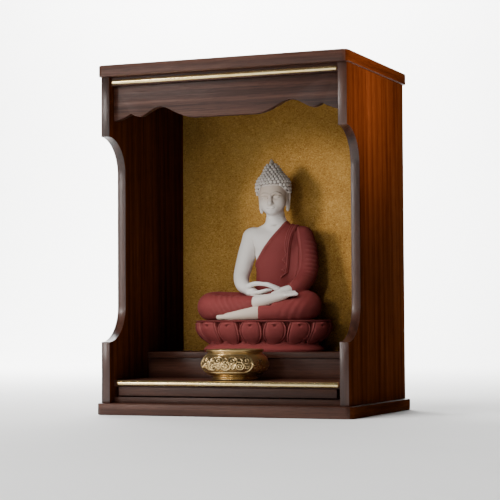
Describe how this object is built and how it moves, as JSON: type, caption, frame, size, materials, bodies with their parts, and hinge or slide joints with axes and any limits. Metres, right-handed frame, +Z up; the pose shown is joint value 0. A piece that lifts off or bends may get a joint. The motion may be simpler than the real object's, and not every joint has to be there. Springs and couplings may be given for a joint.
{
  "type": "household altar cabinet",
  "caption": "Open-fronted dark wood altar cabinet with a scalloped apron, gold-leafed back and raised step, holding a seated figure on a lotus seat and a brass incense burner",
  "frame": {"origin": "middle of the base board's underside, on the surface the cabinet stands on", "axes": "+Z up, the open front faces -Y, +X to the right seen from the front"},
  "size_m": [0.348, 0.244, 0.45],
  "materials": {
    "walnut": "satin oiled dark walnut, reddish brown, straight grain",
    "dark_walnut": "matte stained dark walnut",
    "gold_leaf": "gold leaf laid on a wooden panel, finely crinkled, soft sheen",
    "brass": "satin drawn brass",
    "burner_brass": "cast brass with darkened recesses and polished high spots",
    "figure_robe": "matte brick-red stone-powder casting",
    "figure_skin": "matte off-white stone-powder casting"
  },
  "bodies": {
    "root": {"base_board": "walnut", "top_board": "walnut", "left_side": "walnut", "right_side": "walnut", "plinth_rail": "dark_walnut", "upper_slat": "walnut", "floor_board": "walnut", "floor_brass_strip": "brass", "step_riser": "walnut", "step_board": "walnut", "gold_panel": "gold_leaf", "back_panel": "dark_walnut", "apron": "walnut", "top_rail": "walnut", "top_brass_strip": "brass", "seated_figure": "figure_robe", "incense_burner": "burner_brass"}
  },
  "joints": []
}
